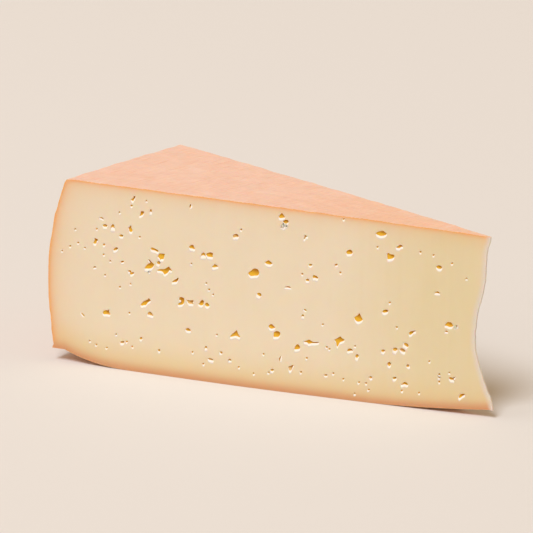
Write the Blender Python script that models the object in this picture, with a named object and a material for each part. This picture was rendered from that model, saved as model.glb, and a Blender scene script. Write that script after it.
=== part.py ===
"""A wedge of raclette cheese, as one solid.

The wedge is a narrow sector of a round wheel: it runs from the wheel's rim, the heel, to its
centre, the tip, and it lies on one of the wheel's flat sides. The rind covers the top, the heel
and the base. The two long sides are fresh cuts, pitted with small eyes.

Metres, +Z up. +X points from the heel to the tip. The cut with the listed eyes looks to -Y.
The shape is worked out round the wheel's axis, and at the end it is moved so that the origin is
under the middle of its bounding box, on the table.
"""

import math
import random

import bmesh
import bpy
from mathutils import Vector

MM = 0.001

# The wheel and the sector that was cut from it
WHEEL_RADIUS = 160 * MM
HALF_ANGLE = math.radians(11.7)
HEIGHT_AT_HEEL = 63.5 * MM
HEIGHT_AT_TIP = 60.0 * MM

# The heel bulges: the rim is widest below the middle and draws in towards the top and the foot
WIDEST_AT = 27 * MM
RIM_IN_AT_TOP = 7.2 * MM
RIM_IN_AT_FOOT = 2.6 * MM
RIM_FLAT_IN_MIDDLE = 3.0 * MM
TOP_EDGE_ROUND = 1.6 * MM
FOOT_LIP_HEIGHT = 1.4 * MM
FOOT_LIP_OUT = 0.7 * MM
RIM_DENT = 0.35 * MM

# The base lies flat in the middle and curls up at both ends
HEEL_CURL = 4.4 * MM
HEEL_CURL_FROM = 126 * MM
HEEL_CURL_TO = 154 * MM
TIP_CURL = 2.9 * MM
TIP_CURL_TO = 45 * MM

# The photographed cut swells a little above the middle of the base
CUT_SWELL = 1.5 * MM
CUT_SWELL_CENTRE = 82 * MM
CUT_SWELL_REACH = 46 * MM

# The tip is a blunt edge, and its outline is hollow: (height, distance back from the axis)
TIP_THICKNESS = 1.5 * MM
TIP_OUTLINE = [
    (0, -1.2),
    (3, -1.0),
    (9, 1.2),
    (14, 3.0),
    (19, 4.5),
    (25, 5.6),
    (33, 5.1),
    (39, 3.7),
    (46, 2.4),
    (54, 2.0),
    (60, 0.7),
    (64, 0.6),
]

# Eyes on the photographed cut, in millimetres:
# (distance from the wheel's axis along the cut, height above the table, the eye's width and
# height, its tilt in degrees)
LARGE_EYES = [
    (138, 19, 2.7, 1.9, 0), (123.5, 24.5, 3.8, 1.8, 25), (122, 37.5, 3.6, 3.0, 0),
    (117.5, 40.5, 2.8, 2.0, 0), (116.5, 36, 4.6, 2.1, -10), (110.5, 26.5, 2.3, 2.9, 0),
    (100, 43.5, 2.8, 2.0, 0), (90, 17.5, 3.4, 2.3, 15), (84, 39, 4.2, 3.0, 0),
    (63.5, 18, 4.6, 1.4, 0), (53, 20, 3.7, 2.9, 0), (46.5, 28, 3.2, 3.1, 0),
    (38.5, 57, 4.2, 1.9, 0), (35.5, 50, 2.8, 2.1, 0), (14.5, 29.5, 3.0, 2.0, 0),
]
MEDIUM_EYES = [
    (142, 43, 1.8, 1.9, 0), (134.5, 41.5, 1.8, 1.4, 0), (132, 9.5, 1.8, 1.4, 0),
    (129, 49, 1.5, 2.4, 10), (128.5, 34, 2.2, 1.5, 0), (128, 59.2, 1.5, 1.9, -20),
    (125, 54.5, 1.8, 1.6, 40), (121.5, 20.5, 2.3, 1.7, 0), (120.5, 43.3, 2.6, 1.1, -25),
    (112.5, 33, 2.2, 1.7, 40), (108, 17, 1.8, 1.4, 0), (107, 26.5, 2.1, 1.9, 0),
    (106.5, 45, 2.2, 1.8, 0), (103, 26.8, 1.8, 1.8, 0), (100.4, 25.8, 1.7, 1.4, 0),
    (99, 8, 1.8, 1.0, -25), (98, 40, 2.2, 1.4, 0), (90.5, 50.5, 2.2, 1.7, 0),
    (78.5, 43, 3.0, 1.6, 0), (77.4, 22, 2.2, 1.7, 0), (75, 19.3, 2.4, 2.0, 0),
    (74.3, 59, 2.1, 1.7, 0), (72, 57.2, 2.1, 1.4, 20), (70, 8.5, 1.8, 1.7, 0),
    (68, 16, 2.3, 2.0, 0), (65.5, 53, 2.2, 1.6, 15), (62, 40, 1.8, 1.4, 0),
    (50, 49.5, 2.3, 1.9, 0), (49.3, 16.6, 1.7, 1.4, 0), (37, 31.5, 2.2, 1.4, 0),
    (35.5, 14, 1.8, 1.4, 0), (33.5, 9.5, 1.8, 1.2, 0), (32.5, 53.5, 2.2, 1.2, -25),
    (31, 19, 1.6, 1.4, 0), (30, 8, 2.6, 1.3, 0), (28, 25.5, 2.4, 1.5, 30),
    (18.5, 48, 2.3, 1.7, 0), (14, 11.5, 2.2, 1.3, 0), (10, 6.5, 2.3, 1.5, 30),
]
SMALL_EYES = [
    (147, 17.5), (142.5, 34), (139.5, 51.5), (139, 42), (138.5, 49), (135.5, 49), (132.5, 46),
    (132, 37), (128.5, 56.5), (125, 12), (121.5, 56), (118.5, 38.3), (118.5, 8.5), (107, 58.5),
    (102.5, 42.5), (101, 11.5), (95.5, 10.5), (92, 8.5), (82, 32), (77, 7), (74, 11),
    (71.5, 36.5), (66, 26.5), (65.5, 28.8), (64.5, 38.2), (63.5, 44), (57.5, 7.5), (54.5, 45),
    (47, 15), (42, 8.5), (37.5, 18), (33.5, 19), (29.5, 21), (29, 14), (19, 39.5), (15.5, 27),
]
SMALL_EYE_WIDTH = 1.3
SMALL_EYE_HEIGHT = 1.2
EYE_DEPTH_SHARE = 0.5
HIDDEN_CUT_EYES = {"large": 11, "medium": 26, "small": 26}

# How finely the body is divided: from tip to heel, from cut to cut, and from base to top
ALONG = 31
ACROSS = 6
HEIGHT_STEPS = [0, 0.02, 0.06, 0.12, 0.2, 0.29, 0.38, 0.47, 0.56, 0.65, 0.74, 0.83, 0.92, 0.975, 1]

PASTE_COLOUR = (0.855, 0.604, 0.314, 1)
RIND_COLOUR = (0.86, 0.55, 0.40, 1)


def mix(a, b, share):
    return a + (b - a) * share


def clamp(value):
    return max(0.0, min(1.0, value))


def tip_setback(z):
    """How far the tip's edge stands back from the wheel's axis at height z, as a smooth curve."""
    heights = [h * MM for h, _ in TIP_OUTLINE]
    backs = [b * MM for _, b in TIP_OUTLINE]
    z = max(heights[0], min(heights[-1], z))
    i = max(k for k in range(len(heights) - 1) if heights[k] <= z)
    t = (z - heights[i]) / (heights[i + 1] - heights[i])
    before = backs[max(i - 1, 0)]
    after = backs[min(i + 2, len(backs) - 1)]
    a, b = backs[i], backs[i + 1]
    return 0.5 * (
        2 * a
        + (b - before) * t
        + (2 * before - 5 * a + 4 * b - after) * t**2
        + (3 * a - before - 3 * b + after) * t**3
    )


def top_height(r):
    """The top falls slightly from the heel to the tip, and dips at the rim's edge."""
    fall = mix(HEIGHT_AT_TIP, HEIGHT_AT_HEEL, clamp(r / WHEEL_RADIUS) ** 0.8)
    edge = clamp((r - 147 * MM) / (8 * MM))
    return fall - 0.4 * MM * edge**2


def base_height(r):
    heel = clamp((r - HEEL_CURL_FROM) / (HEEL_CURL_TO - HEEL_CURL_FROM))
    tip = clamp((TIP_CURL_TO - r) / TIP_CURL_TO)
    return HEEL_CURL * heel**2.6 + TIP_CURL * tip**1.8


def heel_radius(z, across):
    """The rim's radius at height z; across runs from -1 at one cut to 1 at the other."""
    if z > WIDEST_AT:
        up = (z - WIDEST_AT) / (HEIGHT_AT_HEEL - WIDEST_AT)
        radius = WHEEL_RADIUS - RIM_IN_AT_TOP * up**2.1
        radius -= RIM_FLAT_IN_MIDDLE * (1 - across**2) * clamp(up) ** 2
    else:
        down = (WIDEST_AT - z) / WIDEST_AT
        radius = WHEEL_RADIUS - RIM_IN_AT_FOOT * down**1.7
    corner = clamp((z - (HEIGHT_AT_HEEL - TOP_EDGE_ROUND)) / TOP_EDGE_ROUND)
    lip = clamp(1 - (z - HEEL_CURL) / FOOT_LIP_HEIGHT)
    dents = math.sin(z / (5.3 * MM) + 2.0 * across) * math.sin(3.1 * across + z / (11 * MM))
    calm_at_edges = clamp(min(z - HEEL_CURL, HEIGHT_AT_HEEL - z) / (6 * MM))
    radius -= TOP_EDGE_ROUND * (1 - math.sqrt(1 - corner**2)) * 0.8
    return radius + FOOT_LIP_OUT * lip - RIM_DENT * (0.5 + 0.5 * dents) * calm_at_edges


def height_at(r, w):
    return mix(base_height(r), top_height(r), w)


def half_width(back):
    """Half the distance between the two cuts; it never falls below half the blunt tip."""
    return math.hypot(back * math.tan(HALF_ANGLE), TIP_THICKNESS / 2)


def cut_swell(back, z):
    along = math.exp(-(((back - CUT_SWELL_CENTRE) / CUT_SWELL_REACH) ** 2))
    return CUT_SWELL * along * clamp(1 - z / HEIGHT_AT_TIP) ** 1.5


def cut_y(back, z, side):
    """How far a cut is from the wedge's middle plane; side -1 is the photographed cut."""
    swell = cut_swell(back, z) if side < 0 else 0.4 * cut_swell(back, z)
    return half_width(back) + swell


def body_point(s, t, w):
    """The body as a bent block: s from tip to heel, t from cut to cut, w from base to top."""
    across = 2 * t - 1
    z = height_at(mix(0, WHEEL_RADIUS, s), w)
    rim = heel_radius(z, across)
    rim_back = rim * math.cos(across * HALF_ANGLE)
    back = mix(tip_setback(z), rim_back, s)
    z = height_at(math.hypot(back, across * half_width(back)), w)
    return Vector((-back, across * cut_y(back, z, across), z))


def build_body():
    """The six faces of the block, as grids that share their edge points."""
    bm = bmesh.new()
    points = {}
    last_w = len(HEIGHT_STEPS) - 1

    def vertex(i, j, k):
        if (i, j, k) not in points:
            points[i, j, k] = bm.verts.new(body_point(i / ALONG, j / ACROSS, HEIGHT_STEPS[k]))
        return points[i, j, k]

    def grid(count_a, count_b, corner, rind):
        for a in range(count_a):
            for b in range(count_b):
                ring = [corner(a, b), corner(a + 1, b), corner(a + 1, b + 1), corner(a, b + 1)]
                face = bm.faces.new(vertex(*c) for c in ring)
                face.material_index = 1 if rind else 0

    grid(ALONG, last_w, lambda a, b: (ALONG - a, 0, b), False)
    grid(ALONG, last_w, lambda a, b: (a, ACROSS, b), False)
    grid(ACROSS, last_w, lambda a, b: (0, a, b), False)
    grid(ACROSS, last_w, lambda a, b: (ALONG, ACROSS - a, b), True)
    grid(ALONG, ACROSS, lambda a, b: (ALONG - a, b, last_w), True)
    grid(ALONG, ACROSS, lambda a, b: (a, b, 0), True)
    bmesh.ops.triangulate(bm, faces=bm.faces)
    bmesh.ops.recalc_face_normals(bm, faces=bm.faces)
    mesh = bpy.data.meshes.new("cheese_wedge")
    bm.to_mesh(mesh)
    bm.free()
    return mesh


def eye_mesh(name, centre, side, size, tilt, sides, draw):
    """A closed plug in the shape of one eye, with an uneven outline that bellies out inside."""
    wide, high = size
    depth = EYE_DEPTH_SHARE * max(0.5 * (wide + high), 1.2 * MM)
    along = Vector((-math.cos(HALF_ANGLE), side * math.sin(HALF_ANGLE), 0))
    inward = Vector((-math.sin(HALF_ANGLE), -side * math.cos(HALF_ANGLE), 0))
    rings = [(-0.9 * MM, 0.96), (0, 0.97), (0.5 * depth, 1.02), (0.88 * depth, 0.62)]
    if sides < 8:
        rings = [(-0.9 * MM, 0.96), (0.45 * depth, 1.0)]
    outline = []
    for i in range(sides):
        turn = math.tau * (i + draw.uniform(-0.2, 0.2)) / sides
        reach = draw.uniform(0.86, 1.1)
        x, z = reach * wide / 2 * math.cos(turn), reach * high / 2 * math.sin(turn)
        outline.append(
            (x * math.cos(tilt) - z * math.sin(tilt), x * math.sin(tilt) + z * math.cos(tilt))
        )
    bm = bmesh.new()
    loops = []
    for sink, share in rings:
        loops.append(
            [
                bm.verts.new(centre + share * (-x * along + z * Vector((0, 0, 1))) + inward * sink)
                for x, z in outline
            ]
        )
    bottom = bm.verts.new(centre + inward * depth)
    bm.faces.new(loops[0])
    for upper, lower in zip(loops, loops[1:]):
        for i in range(sides):
            j = (i + 1) % sides
            bm.faces.new((upper[i], upper[j], lower[j], lower[i]))
    for i in range(sides):
        bm.faces.new((loops[-1][i], loops[-1][(i + 1) % sides], bottom))
    bmesh.ops.triangulate(bm, faces=bm.faces)
    bmesh.ops.recalc_face_normals(bm, faces=bm.faces)
    mesh = bpy.data.meshes.new(name)
    bm.to_mesh(mesh)
    bm.free()
    return mesh


def photographed_eyes():
    """(distance, height, width, height of the eye, tilt, sides) for the cut that shows."""
    eyes = [eye + (10,) for eye in LARGE_EYES] + [eye + (8,) for eye in MEDIUM_EYES]
    return eyes + [(r, z, SMALL_EYE_WIDTH, SMALL_EYE_HEIGHT, 0, 6) for r, z in SMALL_EYES]


def hidden_eyes(draw):
    """Eyes of the same sizes for the other cut, more of them towards the heel, none touching."""
    models = {"large": (LARGE_EYES, 10), "medium": (MEDIUM_EYES, 8), "small": ([], 6)}
    eyes = []
    for size, count in HIDDEN_CUT_EYES.items():
        examples, sides = models[size]
        placed = 0
        while placed < count:
            r = mix(24, 150, draw.random() ** 0.8)
            z = draw.uniform(8, 56)
            wide, high = SMALL_EYE_WIDTH, SMALL_EYE_HEIGHT
            if examples:
                wide, high = draw.choice(examples)[2:4]
            gap = [math.hypot(r - e[0], z - e[1]) - (wide + e[2]) / 2 for e in eyes]
            if min(gap, default=9) > 1.2:
                eyes.append((r, z, wide, high, draw.uniform(-30, 30), sides))
                placed += 1
    return eyes


def cut_eyes(wedge):
    """Sinks every eye into the wedge with one Boolean difference, then removes the plugs."""
    draw = random.Random(7)
    plugs = bpy.data.collections.new("eye_plugs")
    bpy.context.scene.collection.children.link(plugs)
    for side, eyes in ((-1, photographed_eyes()), (1, hidden_eyes(draw))):
        for number, (r, z, wide, high, tilt, sides) in enumerate(eyes):
            back, z = r * MM * math.cos(HALF_ANGLE), z * MM
            centre = Vector((-back, side * cut_y(back, z, side), z))
            size = (wide * MM, high * MM)
            name = f"eye_{'front' if side < 0 else 'back'}_{number}"
            mesh = eye_mesh(name, centre, side, size, math.radians(tilt), sides, draw)
            plug = bpy.data.objects.new(name, mesh)
            plug.hide_render = True
            plug.display_type = "WIRE"
            plugs.objects.link(plug)
    cut = wedge.modifiers.new("eyes", "BOOLEAN")
    cut.operation = "DIFFERENCE"
    cut.operand_type = "COLLECTION"
    cut.collection = plugs
    cut.solver = "EXACT"
    bpy.context.view_layer.update()
    evaluated = wedge.evaluated_get(bpy.context.evaluated_depsgraph_get())
    pitted = bpy.data.meshes.new_from_object(evaluated)
    wedge.modifiers.remove(cut)
    wedge.data = pitted
    for plug in list(plugs.objects):
        bpy.data.objects.remove(plug)
    bpy.data.collections.remove(plugs)


def stand_on_origin(mesh):
    """Moves the mesh so that the origin is under the middle of its box, at its lowest point."""
    low = [min(v.co[k] for v in mesh.vertices) for k in range(3)]
    high = [max(v.co[k] for v in mesh.vertices) for k in range(3)]
    shift = Vector((-(low[0] + high[0]) / 2, -(low[1] + high[1]) / 2, -low[2]))
    for v in mesh.vertices:
        v.co += shift


def principled(name, colour, roughness):
    material = bpy.data.materials.new(name)
    material.use_nodes = True
    shader = material.node_tree.nodes["Principled BSDF"]
    shader.inputs["Base Color"].default_value = colour
    shader.inputs["Roughness"].default_value = roughness
    shader.inputs["Metallic"].default_value = 0.0
    return material


def main():
    for old in list(bpy.data.objects):
        bpy.data.objects.remove(old)
    wedge = bpy.data.objects.new("cheese_wedge", build_body())
    wedge.data.materials.append(principled("paste", PASTE_COLOUR, 0.45))
    wedge.data.materials.append(principled("rind", RIND_COLOUR, 0.7))
    bpy.context.scene.collection.objects.link(wedge)
    cut_eyes(wedge)
    stand_on_origin(wedge.data)
    wedge.data.shade_smooth()
    wedge.data.set_sharp_from_angle(angle=math.radians(32))


main()
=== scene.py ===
# %% [markdown]
# # A wedge of raclette cheese
#
# The piece is a narrow sector of a round wheel. Its top, heel and base have a brushed pink rind, and its
# two long sides are fresh cuts through pale paste, pitted with small eyes.
# A wheel follows a rule, so Geometry Nodes bend a finely divided block into its sector. The eyes
# repeat, so Geometry Nodes place them too.

# %% Load the frame
import math
import random

import bmesh
import bpy
import numpy as np
from mathutils import Matrix, Vector
from mathutils.bvhtree import BVHTree


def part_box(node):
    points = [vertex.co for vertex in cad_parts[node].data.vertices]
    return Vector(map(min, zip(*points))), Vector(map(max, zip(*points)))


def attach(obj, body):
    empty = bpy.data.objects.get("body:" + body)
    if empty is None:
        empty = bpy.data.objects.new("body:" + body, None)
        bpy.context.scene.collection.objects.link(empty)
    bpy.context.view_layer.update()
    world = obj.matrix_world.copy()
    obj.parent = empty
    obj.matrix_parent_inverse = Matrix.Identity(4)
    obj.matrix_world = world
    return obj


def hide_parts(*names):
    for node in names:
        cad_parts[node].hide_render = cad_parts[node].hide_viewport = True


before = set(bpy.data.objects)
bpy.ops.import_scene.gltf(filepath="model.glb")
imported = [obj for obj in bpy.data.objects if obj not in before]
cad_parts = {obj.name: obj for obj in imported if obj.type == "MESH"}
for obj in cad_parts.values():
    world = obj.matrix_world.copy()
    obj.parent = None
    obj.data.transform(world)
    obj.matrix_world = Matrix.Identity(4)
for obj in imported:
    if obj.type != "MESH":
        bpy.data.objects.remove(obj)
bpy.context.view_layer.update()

MM = 0.001
CAD_NODE = "cheese_wedge"
BODY = "root"
cad_low, cad_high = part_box(CAD_NODE)
print("CAD box in mm:", [round(v / MM, 1) for v in (*cad_low, *cad_high)])

# %% [markdown]
# ## Formulas that build nodes
#
# Both shapes and finishes are worked out by node trees here. Wiring them by hand takes a page for each
# formula, and one helper for each kind of node would take more. Instead a Field stands for a value in a
# tree: plain arithmetic on fields adds the Math nodes, so a formula in this script reads as it would on
# paper, and the tree can still be opened and changed in Blender.

# %% Fields
NODES_IN_COLUMN = 9
COLUMN_WIDTH = 190
ROW_HEIGHT = 170


def operator(operation, swapped=False):
    def apply(self, other):
        return calculate(operation, other, self) if swapped else calculate(operation, self, other)

    return apply


class Field:
    """A value that flows through a node tree."""

    def __init__(self, socket):
        self.socket = socket

    __add__ = operator("ADD")
    __radd__ = operator("ADD", swapped=True)
    __sub__ = operator("SUBTRACT")
    __rsub__ = operator("SUBTRACT", swapped=True)
    __mul__ = operator("MULTIPLY")
    __rmul__ = operator("MULTIPLY", swapped=True)
    __truediv__ = operator("DIVIDE")
    __rtruediv__ = operator("DIVIDE", swapped=True)
    __pow__ = operator("POWER")
    __gt__ = operator("GREATER_THAN")
    __lt__ = operator("LESS_THAN")


def feed(socket, value):
    """Links a field to a socket, or sets the socket's own value."""
    if isinstance(value, Field):
        socket.id_data.links.new(value.socket, socket)
    else:
        socket.default_value = value


def usable(sockets, name):
    """The socket of that name, or number, that the node's settings leave in use."""
    if isinstance(name, int):
        return sockets[name]
    return next(s for s in sockets if s.name == name and s.enabled)


def add(tree, kind, inputs=None, output=0, **settings):
    """Adds a node with its settings and inputs, and gives one of its outputs as a field."""
    node = tree.nodes.new(kind)
    for name, value in settings.items():
        setattr(node, name, value)
    for name, value in (inputs or {}).items():
        feed(usable(node.inputs, name), value)
    count = len(tree.nodes)
    node.location = (COLUMN_WIDTH * (count // NODES_IN_COLUMN), -ROW_HEIGHT * (count % NODES_IN_COLUMN))
    return Field(usable(node.outputs, output))


def calculate(operation, *values, clamped=False):
    tree = next(v for v in values if isinstance(v, Field)).socket.id_data
    inputs = dict(enumerate(values))
    return add(tree, "ShaderNodeMath", inputs, operation=operation, use_clamp=clamped)


def clamp(value):
    return calculate("ADD", value, 0.0, clamped=True)


def mix(a, b, share):
    return a + share * (b - a)


def larger(a, b):
    return calculate("MAXIMUM", a, b)


def smaller(a, b):
    return calculate("MINIMUM", a, b)


def hypot(a, b):
    return calculate("SQRT", a * a + b * b)


def fade(distance, reach):
    """1 at no distance, falling away smoothly over the reach."""
    return calculate("EXPONENT", distance * (-1 / reach))


def step_up(value, low, high):
    """A soft step from 0 at low to 1 at high."""
    tree = value.socket.id_data
    inputs = {"Value": value, "From Min": low, "From Max": high}
    return add(tree, "ShaderNodeMapRange", inputs, interpolation_type="SMOOTHSTEP")


def vector(tree, x, y, z):
    return add(tree, "ShaderNodeCombineXYZ", {"X": x, "Y": y, "Z": z})


def parts_of(value):
    """The X, Y and Z of a vector field."""
    node = add(value.socket.id_data, "ShaderNodeSeparateXYZ", {"Vector": value}).socket.node
    return [Field(node.outputs[axis]) for axis in "XYZ"]


def noise(place, scale, detail=2.0, rough=0.5):
    """Soft noise between about 0.3 and 0.7, around 0.5."""
    inputs = {"Vector": place, "Scale": scale, "Detail": detail, "Roughness": rough}
    return add(place.socket.id_data, "ShaderNodeTexNoise", inputs)


# %% Geometry trees
SOCKET_KINDS = {float: "Float", int: "Int", bpy.types.Object: "Object", bpy.types.Collection: "Collection"}


def start_tree(name, inputs):
    """A Geometry Nodes tree with a named input for each size. Gives the tree, its geometry and inputs."""
    tree = bpy.data.node_groups.new(name, "GeometryNodeTree")
    tree.interface.new_socket("Geometry", in_out="INPUT", socket_type="NodeSocketGeometry")
    tree.interface.new_socket("Geometry", in_out="OUTPUT", socket_type="NodeSocketGeometry")
    for label, value in inputs.items():
        kind = "NodeSocket" + SOCKET_KINDS[type(value)]
        tree.interface.new_socket(label, in_out="INPUT", socket_type=kind)
    inside = tree.nodes.new("NodeGroupInput")
    return tree, Field(inside.outputs["Geometry"]), [Field(inside.outputs[label]) for label in inputs]


def end_tree(tree, geometry, *finishes):
    """Ends a tree in Realize Instances and one Set Material for each (material, selection)."""
    geometry = add(tree, "GeometryNodeRealizeInstances", {"Geometry": geometry})
    for material, selection in finishes:
        inputs = {"Geometry": geometry, "Selection": selection, "Material": material}
        geometry = add(tree, "GeometryNodeSetMaterial", inputs)
    out = tree.nodes.new("NodeGroupOutput")
    tree.links.new(geometry.socket, out.inputs["Geometry"])


def run_tree(piece, tree, inputs):
    """Lets a tree make the piece's mesh, with its inputs set by their identifiers."""
    modifier = piece.modifiers.new(tree.name, "NODES")
    modifier.node_group = tree
    for item in tree.interface.items_tree:
        if item.name in inputs and item.in_out == "INPUT":
            modifier[item.identifier] = inputs[item.name]
    bpy.context.view_layer.update()
    evaluated = piece.evaluated_get(bpy.context.evaluated_depsgraph_get())
    piece.data = bpy.data.meshes.new_from_object(evaluated)
    piece.modifiers.remove(modifier)
    triangles = sum(len(p.vertices) - 2 for p in piece.data.polygons)
    print(f"{tree.name}: {len(piece.data.vertices)} points, {triangles} triangles")


def store(geometry, name, value, domain="CORNER", kind="FLOAT"):
    inputs = {"Geometry": geometry, "Name": name, "Value": value}
    tree = geometry.socket.id_data
    return add(tree, "GeometryNodeStoreNamedAttribute", inputs, data_type=kind, domain=domain)


def stored(tree, name, kind="FLOAT"):
    return add(tree, "GeometryNodeInputNamedAttribute", {"Name": name}, data_type=kind)


def new_piece(name, mesh):
    piece = bpy.data.objects.new(name, mesh)
    bpy.context.scene.collection.objects.link(piece)
    return piece


# %% [markdown]
# ## Camera
#
# The camera stands where the photographer's did: well back, with a long lens, a little above the cheese
# and turned to its pointed end. Its turn, its height and the lens come from the way that the edges of the
# wedge run together in the picture.

# %% Camera
CAMERA_TURN = 36.3
CAMERA_RISE = 15.3
CAMERA_DISTANCE = 1428 * MM
CAMERA_CENTRE = Vector((-1.5 * MM, 0, 30.5 * MM))
LOOK_ASIDE = -7.0 * MM
LOOK_ABOVE = 6.8 * MM
LENS = 292
SENSOR = 36


def towards_angle(turn, rise):
    """The direction from the cheese to a place, by its turn from -Y to +X and its rise, in degrees."""
    turn, rise = math.radians(turn), math.radians(rise)
    return Vector((math.sin(turn) * math.cos(rise), -math.cos(turn) * math.cos(rise), math.sin(rise)))


towards = towards_angle(CAMERA_TURN, CAMERA_RISE)
aside = Vector((-towards.y, towards.x, 0)).normalized()
above = towards.cross(aside)
look_at = CAMERA_CENTRE + LOOK_ASIDE * aside + LOOK_ABOVE * above
camera = bpy.data.objects.new("camera", bpy.data.cameras.new("camera"))
camera.data.lens = LENS
camera.data.sensor_width = SENSOR
camera.location = CAMERA_CENTRE + CAMERA_DISTANCE * towards
camera.rotation_euler = (look_at - camera.location).to_track_quat("-Z", "Y").to_euler()
bpy.context.scene.collection.objects.link(camera)
bpy.context.scene.camera = camera
print("camera at", [round(v, 3) for v in camera.location])

# %% [markdown]
# ## The finishes, by name
#
# The trees below hand out materials, so each finish gets its name first and its nodes later, in a step of
# its own: paste for the cuts, amber for the walls of the eyes, rind for the brushed top, smear for the
# heel and the base, and crumb, named for torn, whitish bits along the edges, though no piece here wears it.

# %% Name the finishes
finish = {name: bpy.data.materials.new(name) for name in ("paste", "amber", "rind", "smear", "crumb")}
for material in finish.values():
    material.use_nodes = True

# %% [markdown]
# ## A block with fine faces where they show
#
# The wedge has six sides, as a block has. The tree bends the block, and this cell divides it: closely on
# the brushed top and the photographed cut, more coarsely where less happens. A subdivided cube would be
# equally fine all over and too heavy. Where a fine side meets a coarse one, the coarse cell takes the fine
# side's points into its edge, so the block stays closed.
# The block's own coordinates are what the later steps steer by: S runs from the tip to the heel, T from
# the photographed cut to the other one, and W from the base to the top, each from 0 to 1.

# %% Build the block
DIVISIONS = (528, 48, 128)
S, T, W = range(3)
# For each side (its axis, and which end of it), how many divisions one face spans along the other axes
FACE_SPANS = {
    (S, 0): {T: 12, W: 1},
    (S, 1): {T: 1, W: 2},
    (T, 0): {S: 2, W: 2},
    (T, 1): {S: 4, W: 4},
    (W, 0): {S: 4, T: 4},
    (W, 1): {S: 1, T: 1},
}
CROWDING_AT_EDGES = 0.5


def walk(start, axis, way, side, points):
    """Adds the points from one corner of a face up to the next, with the neighbour's if those are finer."""
    span = FACE_SPANS[side][axis]
    across = next(a for a in range(3) if a not in (axis, side[0]))
    stride = span
    if start[across] in (0, DIVISIONS[across]):
        neighbour = (across, int(start[across] > 0))
        stride = min(span, FACE_SPANS[neighbour][axis])
    for moved in range(0, span, stride):
        point = list(start)
        point[axis] += way * moved
        points.append(tuple(point))


def face_ring(side, a, b, low_a, low_b):
    fixed, end = side
    corner = [0, 0, 0]
    corner[fixed] = end * DIVISIONS[fixed]
    points = []
    spans = FACE_SPANS[side]
    for da, db, axis, way in ((0, 0, a, 1), (1, 0, b, 1), (1, 1, a, -1), (0, 1, b, -1)):
        corner[a] = low_a + da * spans[a]
        corner[b] = low_b + db * spans[b]
        walk(corner, axis, way, side, points)
    return points


def build_block():
    numbers, faces, sides = {}, [], []
    for number, (side, spans) in enumerate(FACE_SPANS.items()):
        a, b = sorted(spans)
        outward = (side[1] == 1) != (side[0] == T)
        for low_a in range(0, DIVISIONS[a], spans[a]):
            for low_b in range(0, DIVISIONS[b], spans[b]):
                ring = face_ring(side, a, b, low_a, low_b)
                ring = [numbers.setdefault(p, len(numbers)) for p in ring]
                faces.append(ring[::-1] if outward else ring)
                sides.append(number)
    shares = np.array(list(numbers)) / DIVISIONS
    crowding = CROWDING_AT_EDGES * np.sin(math.tau * shares[:, W]) / math.tau
    shares[:, W] -= crowding
    mesh = bpy.data.meshes.new("block")
    mesh.from_pydata(shares.tolist(), [], faces)
    mesh.attributes.new("side", "INT", "FACE").data.foreach_set("value", sides)
    return mesh


wedge = new_piece("wedge", build_block())
print("block:", len(wedge.data.vertices), "points,", len(wedge.data.polygons), "faces")

# %% [markdown]
# ## The wheel's sector
#
# The top falls slightly towards the wheel's middle, the rim bulges and draws in more at the top than at
# the foot, and the base curls up at both ends, because a cut wedge relaxes. The pointed end is a blunt,
# hollow edge. Each of these is a short formula, so the tree works out where every point of the block goes.
# The sizes are the tree's inputs, in metres, and only the hollow outline of the tip is a drawn curve.

# %% Bend the block into the sector
HALF_ANGLE = math.radians(11.7)
SECTOR = {
    "Wheel radius": 160 * MM,
    "Half angle": HALF_ANGLE,
    "Height at heel": 63.5 * MM,
    "Height at tip": 60.0 * MM,
    "Rim widest at": 27 * MM,
    "Rim in at top": 7.2 * MM,
    "Rim in at foot": 2.6 * MM,
    "Rim flat in middle": 3.0 * MM,
    "Top edge round": 1.6 * MM,
    "Foot lip height": 1.4 * MM,
    "Foot lip out": 0.7 * MM,
    "Heel curl": 4.4 * MM,
    "Heel curl from": 126 * MM,
    "Heel curl to": 154 * MM,
    "Tip curl": 2.9 * MM,
    "Tip curl to": 45 * MM,
    "Tip thickness": 0.6 * MM,
    "Tip closing reach": 7 * MM,
    "Cut swell": 1.5 * MM,
    "Swell centre": 82 * MM,
    "Swell reach": 46 * MM,
}
TOP_EDGE_DIP = 0.4 * MM
TOP_EDGE_FROM = 147 * MM
TOP_EDGE_WIDTH = 8 * MM
# The tip's hollow outline: (height, distance back from the wheel's axis), in millimetres
TIP_OUTLINE = [
    (0, -1.2), (3, -1.0), (9, 1.2), (14, 3.0), (19, 4.5), (25, 5.6),
    (33, 5.1), (39, 3.7), (46, 2.4), (54, 2.0), (60, 0.7), (64, 0.6),
]


def drawn_curve(tree, value, points):
    """A smooth curve through points (x, y), read at the value."""
    xs, ys = [p[0] for p in points], [p[1] for p in points]
    low, high = min(ys), max(ys)
    read = add(tree, "ShaderNodeFloatCurve", {"Value": (value - xs[0]) * (1 / (xs[-1] - xs[0]))})
    mapping = read.socket.node.mapping
    curve = mapping.curves[0]
    for number, (x, y) in enumerate(points):
        place = ((x - xs[0]) / (xs[-1] - xs[0]), (y - low) / (high - low))
        if number in (0, len(points) - 1):
            curve.points[0 if number == 0 else -1].location = place
        else:
            curve.points.new(*place)
    mapping.update()
    return low + read * (high - low)


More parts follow.
